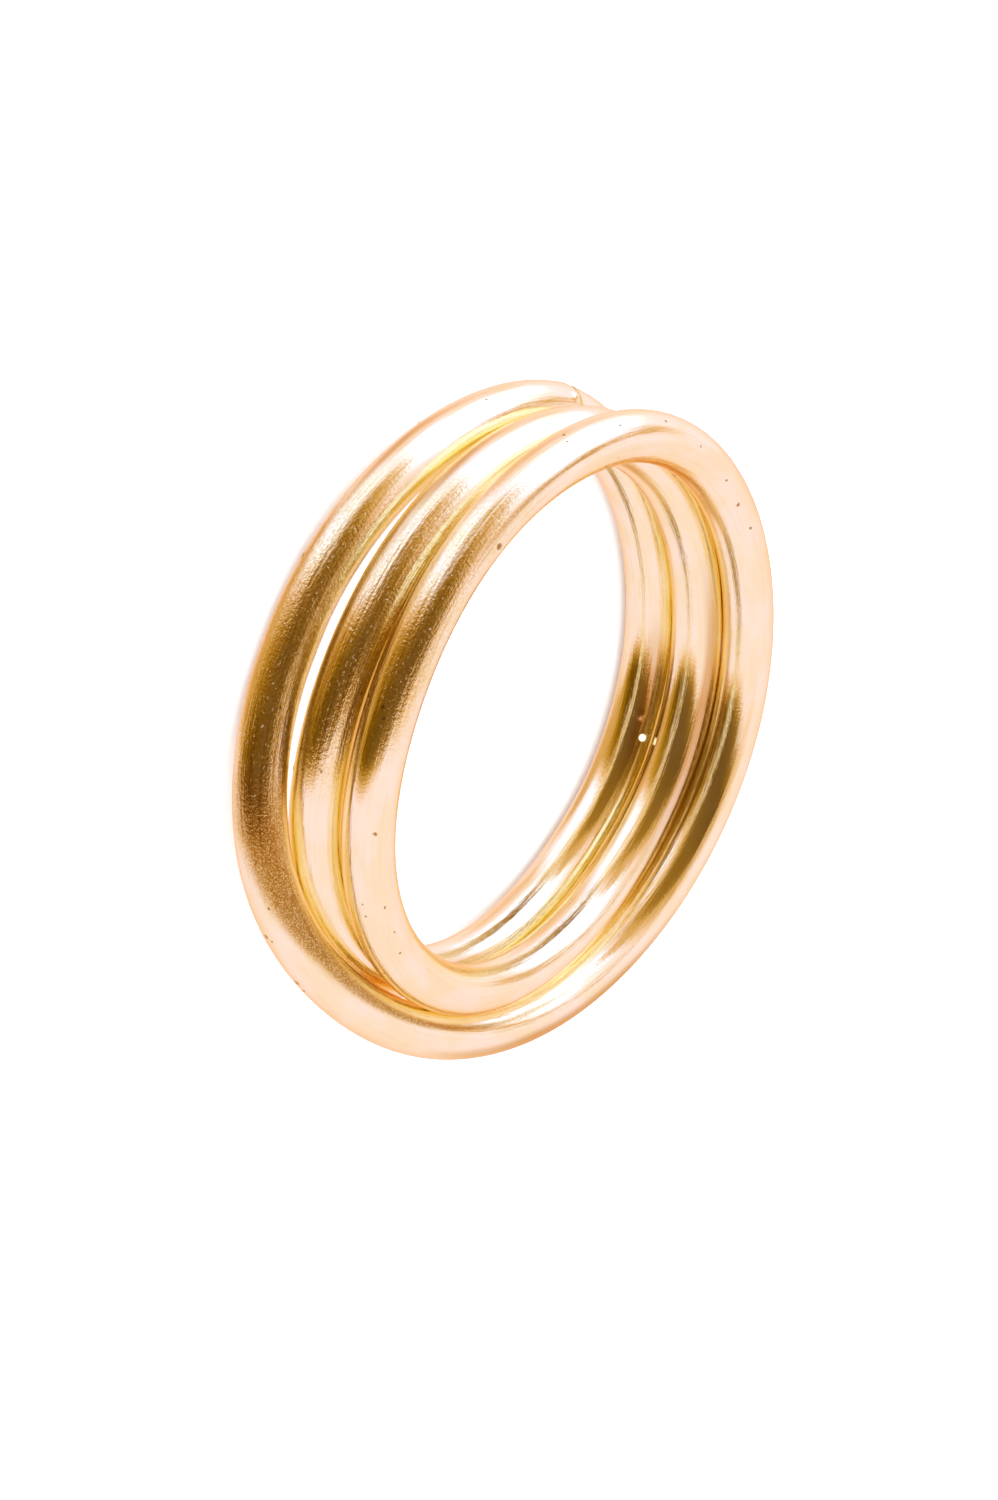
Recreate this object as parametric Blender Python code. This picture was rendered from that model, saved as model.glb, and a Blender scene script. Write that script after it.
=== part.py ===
"""Finger ring of one round gold wire, wound three times and lying on its side.

Metres, +Z up. The wire starts and ends side by side at the back of the ring, where its two
cut ends almost meet. The first turn starts against the table, swells outwards, crosses over
the outside of the other two at the front, and comes up to lie on top. The second and third
turns hug the finger hole and step down until the wire is back on the table.
"""

from collections import namedtuple
import math

import bmesh
import bpy
from mathutils import Vector

# Driving sizes
WIRE_DIAMETER = 0.0016
FINGER_BORE = 0.0165
TURN_GAP = 0.00005
END_GAP = 0.0004
END_CHAMFER = 0.00006

# Fineness of the faceted wire
WIRE_SIDES = 16
RINGS_PER_TURN = 72

# Where the wire starts, seen from above, anticlockwise from +X
START_ANGLE = math.radians(90)
STATIONS_PER_TURN = 12

# Sizes that follow
PITCH = WIRE_DIAMETER + TURN_GAP
SNUG_RADIUS = (FINGER_BORE + WIRE_DIAMETER) / 2
FACET_ANGLE = 2 * math.pi / WIRE_SIDES
FACET_DEPTH = WIRE_DIAMETER / 2 * math.cos(FACET_ANGLE / 2)

# The winding, a station every twelfth of a turn. Both columns are shares of the pitch, which
# is the distance between the centres of two turns that lie side by side.
# out: how far the wire lies outside the snug turn round the finger hole
# up: how high it lies above the turn that rests on the table
Station = namedtuple("Station", "out up")
FIRST_TURN = (
    Station(out=0.17, up=0.10),
    Station(out=0.29, up=0.18),
    Station(out=0.48, up=0.11),
    Station(out=0.65, up=0.00),
    Station(out=1.18, up=0.42),
    Station(out=1.05, up=0.89),
    Station(out=0.95, up=1.15),
    Station(out=0.94, up=1.34),
    Station(out=0.81, up=1.56),
    Station(out=0.67, up=1.74),
    Station(out=0.48, up=1.87),
    Station(out=0.30, up=2.01),
)
SECOND_TURN = (
    Station(out=0.15, up=2.16),
    Station(out=0.00, up=2.22),
    Station(out=-0.10, up=2.18),
    Station(out=-0.17, up=2.05),
    Station(out=-0.11, up=1.82),
    Station(out=-0.06, up=1.59),
    Station(out=-0.04, up=1.40),
    Station(out=-0.06, up=1.17),
    Station(out=-0.04, up=1.01),
    Station(out=-0.03, up=1.00),
    Station(out=-0.05, up=1.00),
    Station(out=-0.06, up=1.06),
)
THIRD_TURN = (
    Station(out=-0.06, up=1.15),
    Station(out=0.00, up=1.21),
    Station(out=0.07, up=1.18),
    Station(out=0.15, up=1.07),
    Station(out=0.21, up=0.83),
    Station(out=0.08, up=0.60),
    Station(out=-0.08, up=0.36),
    Station(out=-0.23, up=0.13),
    Station(out=-0.29, up=0.00),
    Station(out=-0.27, up=0.00),
    Station(out=-0.24, up=0.00),
    Station(out=-0.09, up=0.00),
    Station(out=0.16, up=0.00),
)
WINDING = FIRST_TURN + SECOND_TURN + THIRD_TURN


def clear_scene():
    """Remove the objects of the open scene."""
    for old in list(bpy.data.objects):
        bpy.data.objects.remove(old, do_unlink=True)


def spline_bends(values):
    """Second derivatives of the natural cubic spline through values one station apart."""
    count = len(values)
    shrink = [0.0] * count
    bends = [0.0] * count
    for i in range(1, count - 1):
        pull = 6 * (values[i - 1] - 2 * values[i] + values[i + 1])
        pivot = 4 - shrink[i - 1]
        shrink[i] = 1 / pivot
        bends[i] = (pull - bends[i - 1]) / pivot
    for i in range(count - 2, 0, -1):
        bends[i] -= shrink[i] * bends[i + 1]
    return bends


def spline_at(values, bends, place):
    """Read the spline at a place counted in stations."""
    i = min(int(place), len(values) - 2)
    after = place - i
    before = 1 - after
    straight = before * values[i] + after * values[i + 1]
    curved = (before ** 3 - before) * bends[i] + (after ** 3 - after) * bends[i + 1]
    return straight + curved / 6


OUTS = [station.out for station in WINDING]
UPS = [station.up for station in WINDING]
OUT_BENDS = spline_bends(OUTS)
UP_BENDS = spline_bends(UPS)


def wire_centre(place):
    """Centre of the wire at a place counted in stations from the start."""
    angle = START_ANGLE + 2 * math.pi * place / STATIONS_PER_TURN
    radius = SNUG_RADIUS + PITCH * spline_at(OUTS, OUT_BENDS, place)
    height = FACET_DEPTH + PITCH * max(0.0, spline_at(UPS, UP_BENDS, place))
    return Vector((radius * math.cos(angle), radius * math.sin(angle), height))


def wire_frame(place):
    """Direction of the wire, and the outward and upward axes of its round section."""
    step = 0.01
    ahead = wire_centre(min(place + step, len(WINDING) - 1))
    behind = wire_centre(max(place - step, 0))
    along = (ahead - behind).normalized()
    up = Vector((0, 0, 1))
    outward = along.cross(up).normalized()
    upward = outward.cross(along)
    return along, outward, upward


def add_section(bm, place, radius):
    """Add one ring of vertices round the wire, with a facet turned straight down."""
    centre = wire_centre(place)
    _, outward, upward = wire_frame(place)
    ring = []
    for side in range(WIRE_SIDES):
        turn = (side + 0.5) * FACET_ANGLE
        offset = outward * math.cos(turn) + upward * math.sin(turn)
        ring.append(bm.verts.new(centre + radius * offset))
    return ring


def section_list():
    """Places and radii of the rings from cut end to cut end, with a small chamfer at each."""
    metres_per_station = 2 * math.pi * SNUG_RADIUS / STATIONS_PER_TURN
    first = END_GAP / 2 / metres_per_station
    last = len(WINDING) - 1 - first
    chamfer = END_CHAMFER / metres_per_station
    turns = (len(WINDING) - 1) / STATIONS_PER_TURN
    steps = round(RINGS_PER_TURN * turns)
    full = WIRE_DIAMETER / 2
    sections = [(first, full - END_CHAMFER)]
    for i in range(steps + 1):
        place = first + chamfer + (last - first - 2 * chamfer) * i / steps
        sections.append((place, full))
    sections.append((last, full - END_CHAMFER))
    return sections


def make_wire_mesh(name):
    """Sweep the round section along the winding and close its two cut ends."""
    bm = bmesh.new()
    rings = [add_section(bm, place, radius) for place, radius in section_list()]
    for ring, following in zip(rings, rings[1:]):
        for side in range(WIRE_SIDES):
            after = (side + 1) % WIRE_SIDES
            bm.faces.new((ring[side], ring[after], following[after], following[side]))
    bm.faces.new(reversed(rings[0]))
    bm.faces.new(rings[-1])
    bmesh.ops.recalc_face_normals(bm, faces=bm.faces)
    centre_over_origin(bm)
    mesh = bpy.data.meshes.new(name)
    bm.to_mesh(mesh)
    bm.free()
    mesh.shade_smooth()
    mesh.set_sharp_from_angle(angle=math.radians(40))
    return mesh


def centre_over_origin(bm):
    """Slide the ring until the middle of its outline is over the origin."""
    xs = [vert.co.x for vert in bm.verts]
    ys = [vert.co.y for vert in bm.verts]
    middle = Vector(((min(xs) + max(xs)) / 2, (min(ys) + max(ys)) / 2, 0))
    bmesh.ops.translate(bm, verts=bm.verts, vec=-middle)


def gold_material():
    """Warm yellow gold with a satin polish."""
    material = bpy.data.materials.new("gold_wire")
    material.use_nodes = True
    shader = material.node_tree.nodes["Principled BSDF"]
    shader.inputs["Base Color"].default_value = (0.96, 0.77, 0.52, 1.0)
    shader.inputs["Metallic"].default_value = 1.0
    shader.inputs["Roughness"].default_value = 0.22
    return material


def make_wire_coil():
    """The whole ring, which is one length of wire."""
    mesh = make_wire_mesh("wire_coil")
    mesh.materials.append(gold_material())
    coil = bpy.data.objects.new("wire_coil", mesh)
    bpy.context.scene.collection.objects.link(coil)
    return coil


clear_scene()
make_wire_coil()
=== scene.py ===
"""Looks of the wound wire ring: a fine round wire in worn, drawn gold, lit in a white studio."""

from collections import namedtuple
import math

import bmesh
import bpy
import numpy as np
from mathutils import Matrix, Vector


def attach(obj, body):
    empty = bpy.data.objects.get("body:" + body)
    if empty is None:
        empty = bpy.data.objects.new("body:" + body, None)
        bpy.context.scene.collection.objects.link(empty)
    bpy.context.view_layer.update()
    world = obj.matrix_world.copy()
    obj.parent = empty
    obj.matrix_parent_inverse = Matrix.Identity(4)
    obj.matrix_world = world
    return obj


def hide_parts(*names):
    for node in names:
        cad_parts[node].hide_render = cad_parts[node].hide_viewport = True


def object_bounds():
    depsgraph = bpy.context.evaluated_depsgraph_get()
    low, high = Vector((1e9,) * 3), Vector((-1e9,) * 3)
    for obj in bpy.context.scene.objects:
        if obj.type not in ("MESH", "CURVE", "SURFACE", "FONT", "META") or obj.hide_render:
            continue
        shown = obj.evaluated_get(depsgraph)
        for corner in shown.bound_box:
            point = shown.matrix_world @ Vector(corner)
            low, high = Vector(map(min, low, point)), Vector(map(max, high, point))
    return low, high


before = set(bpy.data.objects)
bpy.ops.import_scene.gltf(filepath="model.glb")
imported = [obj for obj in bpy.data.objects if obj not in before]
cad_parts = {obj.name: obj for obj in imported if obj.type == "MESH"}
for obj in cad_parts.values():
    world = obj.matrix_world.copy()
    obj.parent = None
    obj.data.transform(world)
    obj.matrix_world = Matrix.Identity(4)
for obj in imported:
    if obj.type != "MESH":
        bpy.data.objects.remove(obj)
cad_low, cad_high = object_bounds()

MM = 0.001

# The wire and its winding, as in the part
WIRE_DIAMETER = 1.6 * MM
FINGER_BORE = 16.5 * MM
TURN_GAP = 0.05 * MM
END_GAP = 0.4 * MM
START_ANGLE = math.radians(90)
STATIONS_PER_TURN = 12
PITCH = WIRE_DIAMETER + TURN_GAP
SNUG_RADIUS = (FINGER_BORE + WIRE_DIAMETER) / 2

# The shown wire is a hair thicker, so that turns that touch show no light between them
THICKENING = 0.028 * MM
SHOWN_RADIUS = WIRE_DIAMETER / 2 + THICKENING

# The winding, a station every twelfth of a turn, in shares of the pitch. The first turn is up to
# 0.05 mm closer in than in the part, where the real turns touch.
# out: how far the wire lies outside the snug turn round the finger hole
# up: how high it lies above the turn that rests on the table
Station = namedtuple("Station", "out up")
FIRST_TURN = (
    Station(out=0.17, up=0.10),
    Station(out=0.29, up=0.18),
    Station(out=0.48, up=0.11),
    Station(out=0.65, up=0.00),
    Station(out=1.17, up=0.42),
    Station(out=1.02, up=0.89),
    Station(out=0.915, up=1.15),
    Station(out=0.915, up=1.34),
    Station(out=0.785, up=1.56),
    Station(out=0.645, up=1.74),
    Station(out=0.455, up=1.87),
    Station(out=0.28, up=2.01),
)
SECOND_TURN = (
    Station(out=0.15, up=2.16),
    Station(out=0.00, up=2.22),
    Station(out=-0.10, up=2.18),
    Station(out=-0.17, up=2.05),
    Station(out=-0.11, up=1.82),
    Station(out=-0.06, up=1.59),
    Station(out=-0.04, up=1.40),
    Station(out=-0.06, up=1.17),
    Station(out=-0.04, up=1.01),
    Station(out=-0.03, up=1.00),
    Station(out=-0.05, up=1.00),
    Station(out=-0.06, up=1.06),
)
THIRD_TURN = (
    Station(out=-0.06, up=1.15),
    Station(out=0.00, up=1.21),
    Station(out=0.07, up=1.18),
    Station(out=0.15, up=1.07),
    Station(out=0.21, up=0.83),
    Station(out=0.08, up=0.60),
    Station(out=-0.08, up=0.36),
    Station(out=-0.23, up=0.13),
    Station(out=-0.29, up=0.00),
    Station(out=-0.27, up=0.00),
    Station(out=-0.24, up=0.00),
    Station(out=-0.09, up=0.00),
    Station(out=0.16, up=0.00),
)
WINDING = FIRST_TURN + SECOND_TURN + THIRD_TURN
LAST_STATION = len(WINDING) - 1

# Fineness of the shown wire, and of the points by which it is measured
SIDES = 60
SECTION_STEP = 0.109 * MM
LENGTH_POINTS = 6000
OUTLINE_POINTS = 3000
OUTLINE_INSET = 0.05
TANGENT_STEP = 0.002

# Unevenness of wire that was bent by hand: how far it strays in and out, how much its radius
# swells, and the clearance that keeps a swollen stretch above the table
STRAY = 0.005 * MM
SWELL = 0.0012 * MM
TABLE_CLEARANCE = 0.004 * MM
STRAY_SEED = 1
SWELL_SEED = 4
WAVES = 5
SLOWEST_WAVE = 1.7
WAVE_STEP = 1.31
PHASE_STEP = 1.9
WAVE_FADE = 1.5

# Soft stripes along the wire, for wear, grain and painted shade: each runs through points given by
# their angle along the wire from +X and their angle round it from its outer side, in degrees,
# with half the stripe's width in mm and its strength
SoftStripe = namedtuple("SoftStripe", "angle side width strength")
# Scuffs, duller and darker than the rest. Their darker colour is partly wear and partly painted
# shade: the dark room, a stand and the shadow of the next turn, as the gold mirrors them there,
# painted in.
SCUFFS_AND_SHADE = (
    (
        SoftStripe(194, 30, 1.10, 0.0),
        SoftStripe(199, 34, 0.98, 0.5),
        SoftStripe(205, 44, 0.82, 0.9),
        SoftStripe(214, 64, 0.58, 0.95),
        SoftStripe(230, 95, 0.32, 0.9),
        SoftStripe(250, 109, 0.16, 0.9),
        SoftStripe(272, 121, 0.09, 0.8),
        SoftStripe(292, 131, 0.07, 0.7),
        SoftStripe(310, 134, 0.04, 0.0),
    ),
    (
        SoftStripe(462, 66, 0.04, 0.0),
        SoftStripe(474, 69, 0.06, 0.7),
        SoftStripe(486, 71, 0.08, 0.7),
        SoftStripe(500, 70, 0.10, 0.5),
        SoftStripe(512, 68, 0.10, 0.0),
    ),
)
# Where the drawn surface shows its grain most
GRAINY = (
    (
        SoftStripe(136, 30, 0.90, 0.0),
        SoftStripe(158, 40, 1.00, 0.8),
        SoftStripe(205, 45, 1.00, 1.0),
        SoftStripe(222, 85, 0.50, 0.6),
        SoftStripe(240, 104, 0.25, 0.3),
        SoftStripe(270, 120, 0.12, 0.0),
    ),
    (
        SoftStripe(484, 50, 0.70, 0.0),
        SoftStripe(502, 45, 0.80, 0.7),
        SoftStripe(535, 40, 0.80, 1.0),
        SoftStripe(552, 45, 0.60, 0.0),
    ),
    (
        SoftStripe(848, 40, 0.70, 0.0),
        SoftStripe(868, 40, 0.80, 0.7),
        SoftStripe(905, 40, 0.80, 1.0),
        SoftStripe(922, 45, 0.60, 0.0),
    ),
)
# Painted shade: a darker tan where the gold mirrors shadow and darker surroundings, painted into
# its colour
PAINTED_TAN_SHADE = (
    (
        SoftStripe(262, 50, 0.14, 0.0),
        SoftStripe(276, 54, 0.26, 0.6),
        SoftStripe(290, 62, 0.30, 1.0),
        SoftStripe(312, 66, 0.30, 0.9),
        SoftStripe(330, 72, 0.20, 0.0),
    ),
    (
        SoftStripe(124, -16, 0.12, 0.0),
        SoftStripe(134, -14, 0.14, 0.6),
        SoftStripe(148, -8, 0.12, 0.5),
        SoftStripe(158, -4, 0.10, 0.0),
    ),
    (
        SoftStripe(684, 100, 0.24, 0.0),
        SoftStripe(704, 100, 0.26, 0.6),
        SoftStripe(726, 102, 0.28, 1.0),
        SoftStripe(746, 104, 0.26, 0.7),
        SoftStripe(764, 106, 0.24, 0.0),
    ),
    (
        SoftStripe(1062, 122, 0.24, 0.0),
        SoftStripe(1076, 126, 0.28, 0.8),
        SoftStripe(1090, 128, 0.28, 0.8),
        SoftStripe(1106, 130, 0.24, 0.0),
    ),
    (
        SoftStripe(840, -18, 0.20, 0.0),
        SoftStripe(852, -12, 0.26, 0.7),
        SoftStripe(872, -8, 0.20, 0.5),
        SoftStripe(884, -4, 0.16, 0.0),
    ),
)

# Pits and burrs, placed like the stripes, with their size in mm. Lift is the height of a burr in
# mm, or less than 0 for a pit.
Mark = namedtuple("Mark", "angle side size lift")
MARKS = (
    Mark(564.5, 54, 0.06, -0.02),
    Mark(583.0, 22, 0.05, -0.02),
    Mark(581.6, 66, 0.05, -0.02),
    Mark(588.8, 74, 0.04, -0.01),
    Mark(594.9, 66, 0.04, -0.01),
    Mark(580.1, 20, 0.04, -0.01),
    Mark(591.5, 10, 0.04, -0.01),
    Mark(600.0, 10, 0.04, -0.01),
    Mark(476.2, 2, 0.05, -0.02),
    Mark(477.3, 22, 0.04, -0.01),
    Mark(465.6, 110, 0.04, -0.01),
    Mark(468.5, 126, 0.05, -0.02),
    Mark(463.7, 40, 0.04, -0.01),
    Mark(449.8, 42, 0.06, -0.02),
    Mark(438.3, 76, 0.06, -0.02),
    Mark(425.1, 98, 0.06, -0.02),
    Mark(416.9, 106, 0.07, -0.02),
    Mark(409.1, 102, 0.06, -0.02),
    Mark(787.2, 94, 0.06, -0.02),
    Mark(899.3, 84, 0.05, 0.02),
    Mark(540.3, 18, 0.06, 0.02),
    Mark(542.2, 26, 0.04, 0.02),
    Mark(186.0, 58, 0.04, 0.02),
    Mark(914.4, 40, 0.05, 0.02),
    Mark(916.1, -42, 0.06, 0.04),
    Mark(503.3, 94, 0.12, -0.04),
    Mark(161.0, -34, 0.07, 0.03),
    Mark(222.2, -6, 0.08, 0.02),
    Mark(222.9, 6, 0.05, 0.02),
    Mark(216.9, 30, 0.05, -0.02),
    Mark(211.7, 82, 0.05, 0.02),
    Mark(232.4, -4, 0.10, -0.03),
    Mark(234.4, 0, 0.07, 0.02),
    Mark(192.3, 106, 0.05, 0.02),
    Mark(128.8, -34, 0.06, 0.03),
    Mark(116.3, 22, 0.04, -0.01),
    Mark(1080.5, 136, 0.08, 0.05),
    Mark(91.9, 48, 0.12, 0.07),
)
# Burrs higher than this shine like the wire. All other marks are darker than it, from a core to
# a rim, in shares of the mark's size, and their outline is ragged by so many mm.
BRIGHT_BURR = 0.03
MARK_CORE = 0.5
MARK_RIM = 1.3
RAGGED = 0.12
RAGGED_SCALE = 8.0

# Bead on the inside of the wire, placed like the marks, with its radius in mm. Its pale colour is a
# painted glint.
BEAD = Mark(1075.6, 114, 0.13, 0.0)
BEAD_PAINTED_GLINT_COLOUR = (0.98, 0.86, 0.66, 1.0)
BEAD_ROUGHNESS = 0.35

# Colours of the gold, and what tints them
WARM_GOLD = (0.97, 0.905, 0.56, 1.0)
PALE_GOLD = (0.995, 0.95, 0.69, 1.0)
GRAZING_TINT = (1.0, 0.76, 0.50, 1.0)
STREAK_TINT = (0.74, 0.60, 0.24, 1.0)
SPECKLE_TINT = (0.88, 0.76, 0.50, 1.0)
# Painted shade: this tan tint paints the darker reflections of the tan stripes
PAINTED_TAN_SHADE_TINT = (0.72, 0.50, 0.28, 1.0)
# The scuff and worn tints are partly wear and partly painted shade
SCUFF_AND_SHADE_TINT = (0.80, 0.52, 0.14, 1.0)
WORN_AND_SHADE_TINT = (0.52, 0.46, 0.34, 1.0)
MARK_TINT = (0.46, 0.30, 0.14, 1.0)

# Noises of the gold: waves per mm along and across the wire, detail and roughness of the noise,
# and the values of the noise at which its pattern starts to show and shows in full
Pattern = namedtuple("Pattern", "along across detail roughness start full")
GRAIN = Pattern(along=11, across=14, detail=2.0, roughness=0.6, start=0.35, full=0.62)
FINE_GRAIN = Pattern(along=20, across=20, detail=1.0, roughness=0.5, start=0.35, full=0.60)
GLINTS = Pattern(along=9, across=13, detail=0.0, roughness=0.5, start=0.72, full=0.80)
LINES = Pattern(along=0.25, across=7, detail=4.0, roughness=0.6, start=0.52, full=0.66)
PATCHES = Pattern(along=0.5, across=1.2, detail=2.0, roughness=0.5, start=0.36, full=0.64)

# How strong a feature is at least, and how much more it gets as another one rises from 0 to 1
Strength = namedtuple("Strength", "least more")
STREAKS_BY_GRAININESS = Strength(least=0.08, more=0.88)
LINES_BY_GRAININESS = Strength(least=0.45, more=0.55)
GRAIN_BY_GRAININESS = Strength(least=0.30, more=1.0)
SCUFF_AND_SHADE_BY_FINE_GRAIN = Strength(least=0.68, more=0.40)
ROUGHNESS_BY_LINES = Strength(least=0.06, more=0.08)
SCUFF_ROUGHNESS = 0.08

# Heights of the bumps
LINE_HEIGHT = 0.034 * MM
GRAIN_HEIGHT = 0.011 * MM
GLINT_HEIGHT = 0.007 * MM

# The studio that the gold mirrors. Azimuths run anticlockwise from +X and elevations up from
# the table, in degrees. A blur is the width of the soft edge.
Panel = namedtuple("Panel", "start end low high blur_across blur_up tone")
PANELS = (
    # Pale walls
    Panel(start=214, end=372, low=-80, high=75, blur_across=18, blur_up=16, tone=0.885),
    Panel(start=-12, end=60, low=-78, high=78, blur_across=6, blur_up=16, tone=0.90),
    Panel(start=14, end=74, low=-46, high=12, blur_across=12, blur_up=14, tone=0.94),
    # Tan skirting under the lamps, with a darker strip across it
    Panel(start=44, end=112, low=-68, high=72, blur_across=18, blur_up=14, tone=0.865),
    Panel(start=50, end=100, low=-56, high=-38, blur_across=16, blur_up=10, tone=0.775),
    # Softboxes
    Panel(start=42, end=106, low=-20, high=56, blur_across=12, blur_up=18, tone=1.0),
    Panel(start=104, end=156, low=-52, high=10, blur_across=20, blur_up=22, tone=0.985),
    # Stands beside the softboxes, which draw the thin lines along the highlights
    Panel(start=24, end=36, low=20, high=74, blur_across=7, blur_up=12, tone=0.66),
    Panel(start=99, end=122, low=27, high=84, blur_across=10, blur_up=14, tone=0.66),
)

# Dark side of the room: its azimuth at the horizon, how far that leans per degree up, how wide
# it is and its tone. The tone rises with each degree before it, more so low down, and with each
# degree beyond it, up to a limit.
DARK_AZIMUTH = 184
DARK_LEAN = -0.26
DARK_WIDTH = 16.0
DARK_TONE = 0.262
SLOPE_LOW = -15
SLOPE_HIGH = 35
RISE_BEFORE_LOW = 0.0091
RISE_BEFORE_HIGH = 0.0036
RISE_BEYOND = 0.006
DARK_LIMIT = 0.72

# Far below the table the dark side turns to an even tone
LOW_START = -20
LOW_FULL = -60
LOW_TONE = 0.64

# Light mirrored by the gold at each tone, from the dark room to the lamps
Light = namedtuple("Light", "tone red green blue")
LIGHTS = (
    Light(tone=0.22, red=0.123, green=0.052, blue=0.000),
    Light(tone=0.30, red=0.190, green=0.080, blue=0.000),
    Light(tone=0.39, red=0.299, green=0.134, blue=0.003),
    Light(tone=0.48, red=0.450, green=0.214, blue=0.014),
    Light(tone=0.59, red=0.639, green=0.331, blue=0.064),
    Light(tone=0.74, red=0.874, green=0.539, blue=0.325),
    Light(tone=0.815, red=0.986, green=0.662, blue=0.575),
    Light(tone=0.88, red=1.012, green=0.802, blue=0.904),
    Light(tone=0.97, red=1.046, green=1.035, blue=1.456),
    Light(tone=1.00, red=1.257, green=1.313, blue=1.975),
)
# A colour ramp holds values up to 1, so the lights are divided by this
LIGHT_SCALE = 2.5
# Light of the plain white world that the floor and the camera see
WHITE_LIGHT = 2.8
# Many bounces, or the grooves between the turns would be black
GLOSSY_BOUNCES = 10

# Table, in metres
TABLE_HALF_SIZE = 3.0
TABLE_COLOUR = (0.95, 0.92, 0.94, 1.0)
TABLE_ROUGHNESS = 0.9

# Lamp above and behind the cut ends, in degrees, metres and watts
LAMP_AZIMUTH = 80
LAMP_ELEVATION = 42
LAMP_DISTANCE = 0.28
LAMP_SIZE = 0.16
LAMP_POWER = 0.2

# Camera: its turns from looking straight down the ring's axis, in degrees, and the place of
# the middle of the ring as the camera sees it, in mm
CAMERA_YAW = 54.312
CAMERA_PITCH = 6.466
CAMERA_ROLL = -15.013
MIDDLE_SEEN = (1.237, 1.084, -163.034)
MIDDLE_HEIGHT = 3.2 * MM
SENSOR_WIDTH = 36
LENS_OVER_LONG_SIDE = 3.4869
CLIP_NEAR = 0.01
CLIP_FAR = 20

# The wire's shape
OUTS = [station.out for station in WINDING]
UPS = [station.up for station in WINDING]


def spline_bends(values):
    """Second derivatives of the natural cubic spline through values one station apart."""
    count = len(values)
    shrink = [0.0] * count
    bends = [0.0] * count
    for i in range(1, count - 1):
        pull = 6 * (values[i - 1] - 2 * values[i] + values[i + 1])
        pivot = 4 - shrink[i - 1]
        shrink[i] = 1 / pivot
        bends[i] = (pull - bends[i - 1]) / pivot
    for i in range(count - 2, 0, -1):
        bends[i] -= shrink[i] * bends[i + 1]
    return np.array(bends)


def spline_at(values, places):
    """Read the natural cubic spline at places counted in stations."""
    bends = spline_bends(values)
    values = np.array(values)
    i = np.minimum(places.astype(int), len(values) - 2)
    after = places - i
    before = 1 - after
    straight = before * values[i] + after * values[i + 1]
    curved = (before ** 3 - before) * bends[i] + (after ** 3 - after) * bends[i + 1]
    return straight + curved / 6


def waves_at(places, seed):
    """A few slow waves, for the unevenness left by bending the wire by hand."""
    total = np.zeros_like(places)
    for k in range(WAVES):
        rate = SLOWEST_WAVE + WAVE_STEP * k
        phase = seed * (k + 1) * PHASE_STEP
        total += np.sin(rate * places + phase) / (k + WAVE_FADE)
    return total


def wire_centres(places):
    """Centres of the wire, with the ring's axis at x = y = 0 and the table at z = 0."""
    angle = START_ANGLE + 2 * math.pi * places / STATIONS_PER_TURN
    radius = SNUG_RADIUS + PITCH * spline_at(OUTS, places) + STRAY * waves_at(places, STRAY_SEED)
    height = SHOWN_RADIUS + TABLE_CLEARANCE + PITCH * np.maximum(0, spline_at(UPS, places))
    return np.stack([radius * np.cos(angle), radius * np.sin(angle), height], axis=1)


def unit(vectors):
    """The vectors at length 1."""
    return vectors / np.linalg.norm(vectors, axis=-1, keepdims=True)


Sections = namedtuple("Sections", "places along centres outward upward")


def wire_sections():
    """Places of the sections from cut end to cut end, and the axes of each section."""
    per_station = 2 * math.pi * SNUG_RADIUS / STATIONS_PER_TURN
    first = END_GAP / 2 / per_station
    last = LAST_STATION - first
    fine = np.linspace(first, last, LENGTH_POINTS)
    steps = np.linalg.norm(np.diff(wire_centres(fine), axis=0), axis=1)
    run = np.concatenate([[0], np.cumsum(steps)])
    count = int(run[-1] / SECTION_STEP)
    along = np.linspace(0, run[-1], count)
    places = np.interp(along, run, fine)
    tangent = unit(wire_centres(places + TANGENT_STEP) - wire_centres(places - TANGENT_STEP))
    outward = unit(np.cross(tangent, [0, 0, 1]))
    upward = np.cross(outward, tangent)
    return Sections(places, along, wire_centres(places), outward, upward)


def section_angles(sections):
    """Angle along the wire of each section, in degrees."""
    return math.degrees(START_ANGLE) + 360 * sections.places / STATIONS_PER_TURN


def round_distance(turn, side):
    """Distance round the wire between its points and a side given in degrees, in mm."""
    apart = (np.degrees(turn)[None, :] - side + 180) % 360 - 180
    return np.radians(apart) * SHOWN_RADIUS / MM


def stripe_strength(sections, turn, stripes):
    """Strength of the soft stripes at each point of the wire."""
    angles = section_angles(sections)
    total = np.zeros((len(angles), len(turn)))
    for stripe in stripes:
        at = [point.angle for point in stripe]
        side, width, strength = (
            np.interp(angles, at, [getattr(point, key) for point in stripe])[:, None]
            for key in ("side", "width", "strength")
        )
        off = round_distance(turn, side) / width
        total = np.maximum(total, strength * np.exp(-off ** 4))
    return total


def mark_lift(sections, turn):
    """Height of the burrs, less the depth of the pits, at each point of the wire."""
    angles = section_angles(sections)
    total = np.zeros((len(angles), len(turn)))
    for mark in MARKS:
        start = np.interp(mark.angle, angles, sections.along)
        off_along = (sections.along - start)[:, None] / MM
        off_round = round_distance(turn, mark.side)
        total += mark.lift * np.exp(-(off_along ** 2 + off_round ** 2) / mark.size ** 2)
    return total * MM


def mark_places(sections):
    """Each mark's place in the coordinates of wire_place."""
    angles = section_angles(sections)
    places = []
    for mark in MARKS:
        side = math.radians(mark.side)
        start = float(np.interp(mark.angle, angles, sections.along))
        across = SHOWN_RADIUS * math.cos(side)
        up = SHOWN_RADIUS * math.sin(side)
        places.append(Vector((start, across, up)) / MM)
    return places


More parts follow.
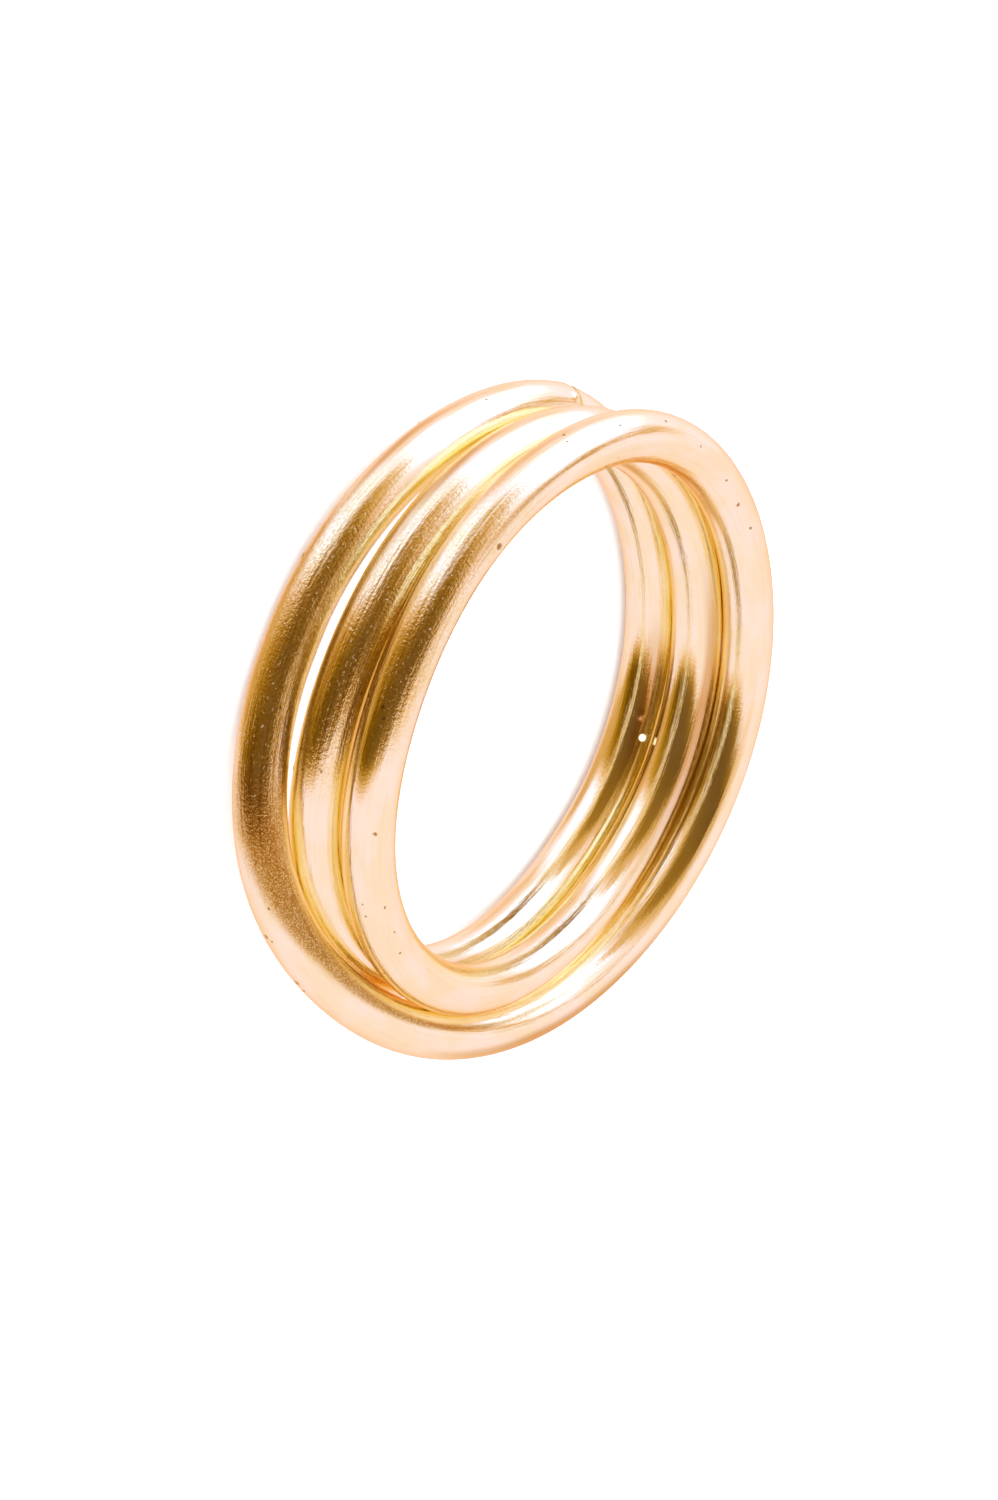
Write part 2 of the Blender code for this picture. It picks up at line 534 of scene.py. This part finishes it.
def axis_place():
    """Where the ring's axis meets the table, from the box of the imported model."""
    places = np.linspace(OUTLINE_INSET, LAST_STATION - OUTLINE_INSET, OUTLINE_POINTS)
    centres = wire_centres(places)
    low = centres.min(axis=0)
    high = centres.max(axis=0)
    middle = [(cad_low[i] + cad_high[i]) / 2 - (low[i] + high[i]) / 2 for i in (0, 1)]
    return np.array([middle[0], middle[1], 0.0])


def tube_points(sections, turn):
    """Points of the wire's surface, a row for each section."""
    radius = SHOWN_RADIUS + SWELL * waves_at(sections.places, SWELL_SEED)[:, None]
    radius = radius + mark_lift(sections, turn)
    across = sections.outward[:, None] * np.cos(turn)[None, :, None]
    up = sections.upward[:, None] * np.sin(turn)[None, :, None]
    points = sections.centres[:, None] + radius[:, :, None] * (across + up)
    return points.reshape(-1, 3) + axis_place()


def tube_faces(count):
    """Faces between the sections, and a flat one over each cut end."""
    lane = np.arange(SIDES)[None]
    row = np.arange(count - 1)[:, None] * SIDES
    here = row + lane
    beside = row + (lane + 1) % SIDES
    faces = np.stack([here, beside, beside + SIDES, here + SIDES], axis=2)
    faces = faces.reshape(-1, 4).tolist()
    faces.append(list(range(SIDES))[::-1])
    faces.append([(count - 1) * SIDES + side for side in range(SIDES)])
    return faces


def add_attribute(mesh, name, kind, key, values):
    """Store a value for each point of the mesh, for the material to read."""
    attribute = mesh.attributes.new(name, kind, "POINT")
    attribute.data.foreach_set(key, values.astype(np.float32).ravel())


def make_wire(sections):
    """The fine round wire that is shown in place of the faceted one."""
    count = len(sections.places)
    turn = 2 * math.pi * np.arange(SIDES) / SIDES
    mesh = bpy.data.meshes.new("drawn_wire")
    mesh.from_pydata(tube_points(sections, turn).tolist(), [], tube_faces(count))
    mesh.update()
    place = np.stack([
        np.repeat(sections.along, SIDES),
        np.tile(SHOWN_RADIUS * np.cos(turn), count),
        np.tile(SHOWN_RADIUS * np.sin(turn), count),
    ], axis=1) / MM
    add_attribute(mesh, "wire_place", "FLOAT_VECTOR", "vector", place)
    # The scuff stripes hold painted shade as well as wear, and the tan stripes are painted shade
    for name, stripes in (("scuffed_and_shaded", SCUFFS_AND_SHADE), ("grainy", GRAINY), ("painted_tan_shade", PAINTED_TAN_SHADE)):
        add_attribute(mesh, name, "FLOAT", "value", stripe_strength(sections, turn, stripes))
    mesh.shade_smooth()
    mesh.set_sharp_from_angle(angle=math.radians(50))
    wire = bpy.data.objects.new("drawn_wire", mesh)
    bpy.context.scene.collection.objects.link(wire)
    return wire


def make_bead(sections):
    """Small round bead, half sunk in the wire."""
    place = np.interp(BEAD.angle, section_angles(sections), sections.places)
    at, outward, upward = (
        Vector([np.interp(place, sections.places, column) for column in rows.T])
        for rows in (sections.centres, sections.outward, sections.upward)
    )
    side = math.radians(BEAD.side)
    away = outward * math.cos(side) + upward * math.sin(side)
    centre = at + away * SHOWN_RADIUS + Vector(axis_place().tolist())
    bm = bmesh.new()
    bmesh.ops.create_icosphere(
        bm, subdivisions=4, radius=BEAD.size * MM, matrix=Matrix.Translation(centre)
    )
    mesh = bpy.data.meshes.new("bead")
    bm.to_mesh(mesh)
    bm.free()
    mesh.shade_smooth()
    bead = bpy.data.objects.new("bead", mesh)
    bpy.context.scene.collection.objects.link(bead)
    return bead


# Node helpers
def value_node(tree, kind, inputs, **settings):
    """Add a node, set its options, and give each input a number or a link."""
    node = tree.nodes.new(kind)
    for key, setting in settings.items():
        setattr(node, key, setting)
    for key, value in inputs.items():
        if isinstance(value, bpy.types.NodeSocket):
            tree.links.new(value, node.inputs[key])
        else:
            node.inputs[key].default_value = value
    return node


def math_node(tree, operation, *values):
    """Result of a sum on numbers or links."""
    node = value_node(tree, "ShaderNodeMath", dict(enumerate(values)), operation=operation)
    return node.outputs[0]


def vector_node(tree, operation, *values):
    """Vector that results from a sum on vectors or links."""
    node = value_node(tree, "ShaderNodeVectorMath", dict(enumerate(values)), operation=operation)
    return node.outputs["Vector"]


def smooth_step(tree, value, start, end):
    """0 below start, 1 above end, and smooth between."""
    inputs = {"Value": value, "From Min": start, "From Max": end}
    node = value_node(tree, "ShaderNodeMapRange", inputs, interpolation_type="SMOOTHSTEP")
    return node.outputs["Result"]


def attribute(tree, name, output="Fac"):
    """Read what the mesh stores under a name."""
    return value_node(tree, "ShaderNodeAttribute", {}, attribute_name=name).outputs[output]


def mixed(tree, amount, first, second, blend="MIX"):
    """Mix of two colours, by the given amount of the second."""
    node = value_node(
        tree, "ShaderNodeMix", {"Factor": amount, "A": first, "B": second},
        data_type="RGBA", blend_type=blend,
    )
    return node.outputs["Result"]


def tinted(tree, colour, tint, amount):
    """Multiply a colour by a tint, by the given amount."""
    return mixed(tree, amount, colour, tint, "MULTIPLY")


def strength_by(tree, value, strength):
    """How strong a feature is, given the value of the other that it rises with."""
    return math_node(tree, "MULTIPLY_ADD", value, strength.more, strength.least)


# The gold
def noise(tree, place, pattern):
    """Noise of a pattern, in the wire's own coordinates."""
    scale = (pattern.along, pattern.across, pattern.across)
    place = value_node(tree, "ShaderNodeMapping", {"Vector": place, "Scale": scale}).outputs[0]
    inputs = {"Scale": 1.0, "Detail": pattern.detail, "Roughness": pattern.roughness}
    return value_node(tree, "ShaderNodeTexNoise", {"Vector": place, **inputs}).outputs["Fac"]


def shown(tree, value, pattern):
    """Where the noise of a pattern shows, from 0 to 1."""
    return smooth_step(tree, value, pattern.start, pattern.full)


def ragged_place(tree, place):
    """The place on the wire, moved about a little."""
    inputs = {"Vector": place, "Scale": RAGGED_SCALE, "Detail": 1.0}
    shift = value_node(tree, "ShaderNodeTexNoise", inputs).outputs["Color"]
    moved = vector_node(tree, "MULTIPLY_ADD", shift, [RAGGED] * 3, place)
    return vector_node(tree, "SUBTRACT", moved, [RAGGED / 2] * 3)


def mark_mask(tree, place, centres):
    """1 in the middle of each dark pit or burr, 0 away from them."""
    place = ragged_place(tree, place)
    mask = None
    for mark, centre in zip(MARKS, centres):
        if mark.lift > BRIGHT_BURR:
            continue
        away = value_node(tree, "ShaderNodeVectorMath", {0: place, 1: centre}, operation="DISTANCE")
        rim = mark.size * MARK_RIM
        core = mark.size * MARK_CORE
        spot = smooth_step(tree, away.outputs["Value"], rim, core)
        mask = spot if mask is None else math_node(tree, "MAXIMUM", mask, spot)
    return mask


def bump(tree, height, distance, normal=None):
    """Normal of a bumpy surface, on top of another normal if one is given."""
    inputs = {"Height": height, "Strength": 1.0, "Distance": distance}
    if normal is not None:
        inputs["Normal"] = normal
    return value_node(tree, "ShaderNodeBump", inputs).outputs[0]


def gold_colour(tree, place, grain, lines, grainy, centres):
    """Patches of two golds, with streaks, speckles, painted tan shade, scuffs partly of painted
    shade, and marks.
    """
    colour = mixed(tree, shown(tree, noise(tree, place, PATCHES), PATCHES), WARM_GOLD, PALE_GOLD)
    streaks = shown(tree, lines, LINES)
    amount = strength_by(tree, grainy, STREAKS_BY_GRAININESS)
    colour = tinted(tree, colour, STREAK_TINT, math_node(tree, "MULTIPLY", streaks, amount))
    speckles = math_node(tree, "MULTIPLY", shown(tree, grain, GRAIN), grainy)
    colour = tinted(tree, colour, SPECKLE_TINT, speckles)
    # Painted shade: a darker tan where the gold mirrors darker surroundings
    colour = tinted(tree, colour, PAINTED_TAN_SHADE_TINT, attribute(tree, "painted_tan_shade"))
    # Scuffs darken the gold, partly as wear and partly as painted shade
    fine = shown(tree, noise(tree, place, FINE_GRAIN), FINE_GRAIN)
    amount = strength_by(tree, fine, SCUFF_AND_SHADE_BY_FINE_GRAIN)
    scuff_and_shade = math_node(tree, "MULTIPLY", attribute(tree, "scuffed_and_shaded"), amount)
    colour = tinted(tree, colour, SCUFF_AND_SHADE_TINT, scuff_and_shade)
    colour = tinted(tree, colour, WORN_AND_SHADE_TINT, math_node(tree, "MULTIPLY", scuff_and_shade, scuff_and_shade))
    return tinted(tree, colour, MARK_TINT, mark_mask(tree, place, centres))


def gold_roughness(tree, lines):
    """Satin that follows the drawn lines, and duller where it is scuffed."""
    roughness = strength_by(tree, lines, ROUGHNESS_BY_LINES)
    scuffed_and_shaded = attribute(tree, "scuffed_and_shaded")
    return math_node(tree, "MULTIPLY_ADD", scuffed_and_shaded, SCUFF_ROUGHNESS, roughness)


def gold_normal(tree, place, grain, lines, grainy):
    """Drawn lines, grain and glints in relief."""
    amount = strength_by(tree, grainy, LINES_BY_GRAININESS)
    normal = bump(tree, math_node(tree, "MULTIPLY", lines, amount), LINE_HEIGHT)
    amount = strength_by(tree, grainy, GRAIN_BY_GRAININESS)
    normal = bump(tree, math_node(tree, "MULTIPLY", grain, amount), GRAIN_HEIGHT, normal)
    glints = shown(tree, noise(tree, place, GLINTS), GLINTS)
    return bump(tree, math_node(tree, "MULTIPLY", glints, grainy), GLINT_HEIGHT, normal)


def make_gold(centres):
    """Drawn gold wire: satin, with fine grain, lines along it, scuffs partly of painted shade, pits
    and painted tan shade.
    """
    material = bpy.data.materials.new("drawn_gold")
    material.use_nodes = True
    tree = material.node_tree
    shader = tree.nodes["Principled BSDF"]
    shader.inputs["Metallic"].default_value = 1.0
    shader.inputs["Specular Tint"].default_value = GRAZING_TINT
    place = attribute(tree, "wire_place", "Vector")
    grainy = attribute(tree, "grainy")
    grain = noise(tree, place, GRAIN)
    lines = noise(tree, place, LINES)
    colour = gold_colour(tree, place, grain, lines, grainy, centres)
    roughness = gold_roughness(tree, lines)
    normal = gold_normal(tree, place, grain, lines, grainy)
    tree.links.new(colour, shader.inputs["Base Color"])
    tree.links.new(roughness, shader.inputs["Roughness"])
    tree.links.new(normal, shader.inputs["Normal"])
    return material


def plain_material(name, colour, roughness, shine=0.5):
    """Even colour with no metal in it."""
    material = bpy.data.materials.new(name)
    material.use_nodes = True
    shader = material.node_tree.nodes["Principled BSDF"]
    shader.inputs["Base Color"].default_value = colour
    shader.inputs["Roughness"].default_value = roughness
    shader.inputs["Specular IOR Level"].default_value = shine
    return material


# The studio
def inside_panel(tree, panel, azimuth, elevation):
    """1 inside a panel, 0 outside, and soft at its edges."""
    across = panel.blur_across / 2
    up = panel.blur_up / 2
    sides = (
        smooth_step(tree, azimuth, panel.start - across, panel.start + across),
        smooth_step(tree, azimuth, panel.end + across, panel.end - across),
        smooth_step(tree, elevation, panel.low - up, panel.low + up),
        smooth_step(tree, elevation, panel.high + up, panel.high - up),
    )
    inside = sides[0]
    for side in sides[1:]:
        inside = math_node(tree, "MULTIPLY", inside, side)
    return inside


def dark_side(tree, azimuth, elevation):
    """Tone of the dark side of the room, which brightens away from its middle."""
    middle = math_node(tree, "MULTIPLY_ADD", elevation, DARK_LEAN, DARK_AZIMUTH)
    past = math_node(tree, "SUBTRACT", azimuth, middle)
    before = math_node(tree, "MAXIMUM", math_node(tree, "MULTIPLY", past, -1.0), 0.0)
    beyond = math_node(tree, "MAXIMUM", math_node(tree, "SUBTRACT", past, DARK_WIDTH), 0.0)
    low = smooth_step(tree, elevation, SLOPE_HIGH, SLOPE_LOW)
    more = RISE_BEFORE_LOW - RISE_BEFORE_HIGH
    rise = math_node(tree, "MULTIPLY_ADD", low, more, RISE_BEFORE_HIGH)
    tone = math_node(tree, "MULTIPLY_ADD", before, rise, DARK_TONE)
    tone = math_node(tree, "MULTIPLY_ADD", beyond, RISE_BEYOND, tone)
    return math_node(tree, "MINIMUM", tone, DARK_LIMIT)


def towards(tree, tone, target, amount):
    """Move a tone towards a target, by the given amount."""
    lift = math_node(tree, "SUBTRACT", target, tone)
    return math_node(tree, "MULTIPLY_ADD", amount, lift, tone)


def studio_tone(tree):
    """Brightness of the studio in each direction, from 0 for black to 1 for a lamp."""
    ray = tree.nodes.new("ShaderNodeTexCoord").outputs["Generated"]
    ray = vector_node(tree, "NORMALIZE", ray)
    split = value_node(tree, "ShaderNodeSeparateXYZ", {0: ray})
    azimuth = math_node(tree, "ARCTAN2", split.outputs["Y"], split.outputs["X"])
    azimuth = math_node(tree, "FLOORED_MODULO", math_node(tree, "DEGREES", azimuth), 360.0)
    elevation = math_node(tree, "DEGREES", math_node(tree, "ARCSINE", split.outputs["Z"]))
    tone = dark_side(tree, azimuth, elevation)
    tone = towards(tree, tone, LOW_TONE, smooth_step(tree, elevation, LOW_START, LOW_FULL))
    for panel in PANELS:
        inside = inside_panel(tree, panel, azimuth, elevation)
        tone = towards(tree, tone, panel.tone, inside)
    return tone


def light_colour(tree, tone):
    """Colour of the light at a tone, divided by LIGHT_SCALE."""
    node = value_node(tree, "ShaderNodeValToRGB", {"Fac": tone})
    elements = node.color_ramp.elements
    while len(elements) < len(LIGHTS):
        elements.new(0.5)
    for element, light in zip(elements, LIGHTS):
        element.position = light.tone
        channels = (light.red, light.green, light.blue)
        element.color = [channel / LIGHT_SCALE for channel in channels] + [1.0]
    return node.outputs["Color"]


def make_world():
    """White studio for the floor, with its darker far side shown only in the gold."""
    world = bpy.data.worlds.new("studio")
    world.use_nodes = True
    tree = world.node_tree
    tree.nodes.clear()
    colour = light_colour(tree, studio_tone(tree))
    mirrored = value_node(tree, "ShaderNodeBackground", {"Color": colour, "Strength": LIGHT_SCALE})
    white = value_node(
        tree, "ShaderNodeBackground", {"Color": (1.0, 1.0, 1.0, 1.0), "Strength": WHITE_LIGHT}
    )
    path = tree.nodes.new("ShaderNodeLightPath")
    mix = value_node(tree, "ShaderNodeMixShader", {"Fac": path.outputs["Is Glossy Ray"]})
    tree.links.new(white.outputs[0], mix.inputs[1])
    tree.links.new(mirrored.outputs[0], mix.inputs[2])
    output = tree.nodes.new("ShaderNodeOutputWorld")
    tree.links.new(mix.outputs[0], output.inputs["Surface"])
    bpy.context.scene.world = world


def make_floor():
    """Plain pale table that the ring lies on."""
    size = TABLE_HALF_SIZE
    corners = [(-size, -size, 0), (size, -size, 0), (size, size, 0), (-size, size, 0)]
    mesh = bpy.data.meshes.new("table")
    mesh.from_pydata(corners, [], [(0, 1, 2, 3)])
    floor = bpy.data.objects.new("table", mesh)
    bpy.context.scene.collection.objects.link(floor)
    mesh.materials.append(plain_material("white_table", TABLE_COLOUR, TABLE_ROUGHNESS, shine=0.0))
    floor.visible_glossy = False


def direction(azimuth, elevation):
    """Unit vector towards an azimuth and an elevation in degrees."""
    a = math.radians(azimuth)
    e = math.radians(elevation)
    return Vector((math.cos(a) * math.cos(e), math.sin(a) * math.cos(e), math.sin(e)))


def make_key_light():
    """Large soft lamp above and behind the cut ends, for a faint shadow."""
    lamp = bpy.data.lights.new("overhead_softbox", "AREA")
    lamp.shape = "DISK"
    lamp.size = LAMP_SIZE
    lamp.energy = LAMP_POWER
    light = bpy.data.objects.new("overhead_softbox", lamp)
    light.location = direction(LAMP_AZIMUTH, LAMP_ELEVATION) * LAMP_DISTANCE
    light.rotation_mode = "QUATERNION"
    light.rotation_quaternion = light.location.to_track_quat("Z", "Y")
    light.visible_glossy = False
    bpy.context.scene.collection.objects.link(light)


def make_camera():
    """Camera at the photo's angle to the ring, rolled as the photo is."""
    camera = bpy.data.cameras.new("camera")
    camera.sensor_width = SENSOR_WIDTH
    camera.lens = SENSOR_WIDTH * LENS_OVER_LONG_SIDE
    camera.clip_start = CLIP_NEAR
    camera.clip_end = CLIP_FAR
    body = bpy.data.objects.new("camera", camera)
    bpy.context.scene.collection.objects.link(body)
    yaw = Matrix.Rotation(math.radians(CAMERA_YAW), 3, "Y")
    pitch = Matrix.Rotation(math.radians(CAMERA_PITCH), 3, "X")
    roll = Matrix.Rotation(math.radians(CAMERA_ROLL), 3, "Z")
    turn = (roll @ pitch @ yaw).transposed()
    middle = Vector(axis_place().tolist()) + Vector((0, 0, MIDDLE_HEIGHT))
    place = middle - turn @ Vector(MIDDLE_SEEN) * MM
    body.matrix_world = Matrix.Translation(place) @ turn.to_4x4()
    bpy.context.scene.camera = body


bpy.context.scene.view_settings.view_transform = "Standard"
bpy.context.scene.cycles.glossy_bounces = GLOSSY_BOUNCES
make_camera()
make_world()
make_floor()
make_key_light()
wire_run = wire_sections()
wire = make_wire(wire_run)
wire.data.materials.append(make_gold(mark_places(wire_run)))
bead = make_bead(wire_run)
# The bead's pale, non-metal colour is a painted glint
bead.data.materials.append(plain_material("bead_painted_glint", BEAD_PAINTED_GLINT_COLOUR, BEAD_ROUGHNESS))
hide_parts("wire_coil")
for piece in (wire, bead):
    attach(piece, "root")
